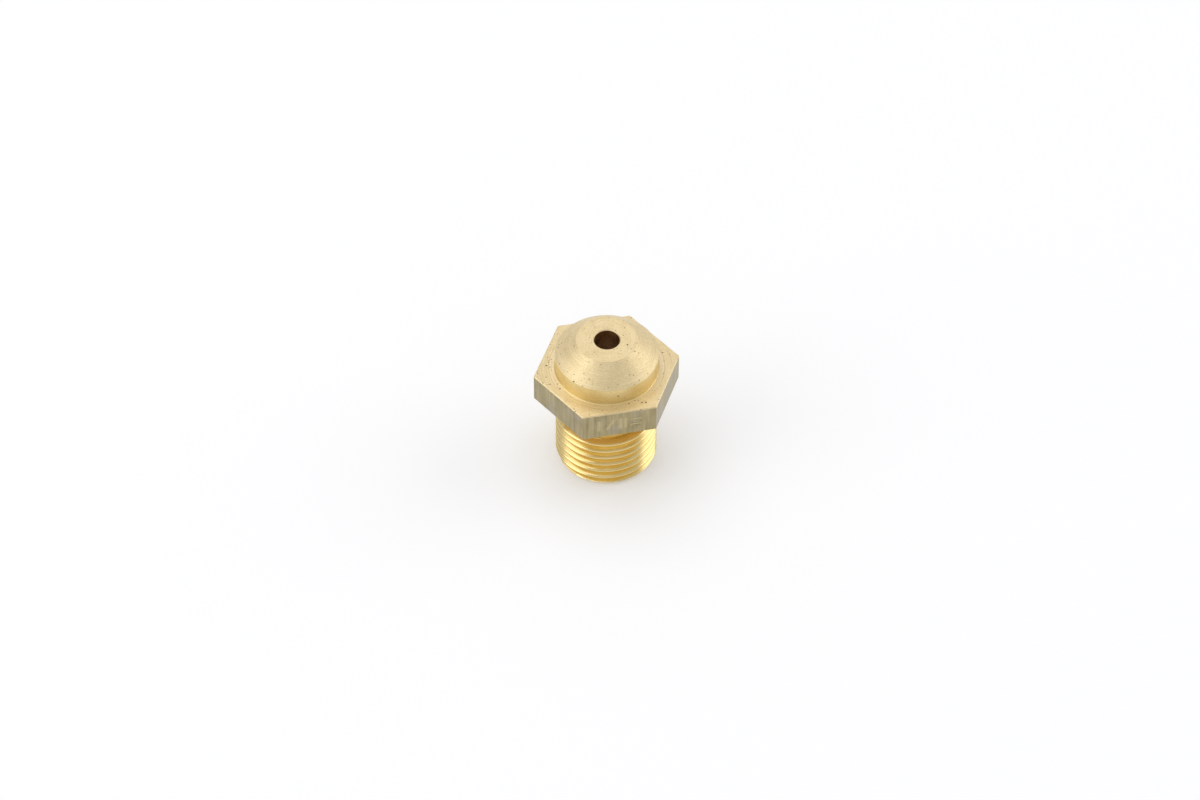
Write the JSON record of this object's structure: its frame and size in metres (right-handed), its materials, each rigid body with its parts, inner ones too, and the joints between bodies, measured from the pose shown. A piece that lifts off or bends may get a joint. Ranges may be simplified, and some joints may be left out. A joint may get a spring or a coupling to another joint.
{
  "type": "oil burner nozzle",
  "caption": "Small turned brass burner nozzle with hexagon, conical nose, central outlet hole and threaded inlet, with orifice disc, distributor, lock screw and strainer inside.",
  "frame": {"origin": "centre of the flat inlet end, on which the nozzle stands", "axes": "+Z along the bore from the inlet to the nose; +X through a corner of the hexagon"},
  "size_m": [0.0138, 0.012, 0.0151],
  "materials": {
    "turned_brass": "as turned, matte on the nose and glossy on the thread",
    "inner_brass": "clean turned",
    "strainer_brass": "drawn sheet",
    "hardened_steel": "ground and lapped",
    "bronze_gauze": "woven wire",
    "spring_steel": "oiled spring wire"
  },
  "bodies": {
    "root": {"nozzle_body": "turned_brass", "orifice_disc": "hardened_steel", "distributor": "inner_brass", "lock_screw": "inner_brass", "strainer_cup": "strainer_brass", "strainer_gauze": "bronze_gauze", "retaining_ring": "spring_steel"}
  },
  "joints": []
}
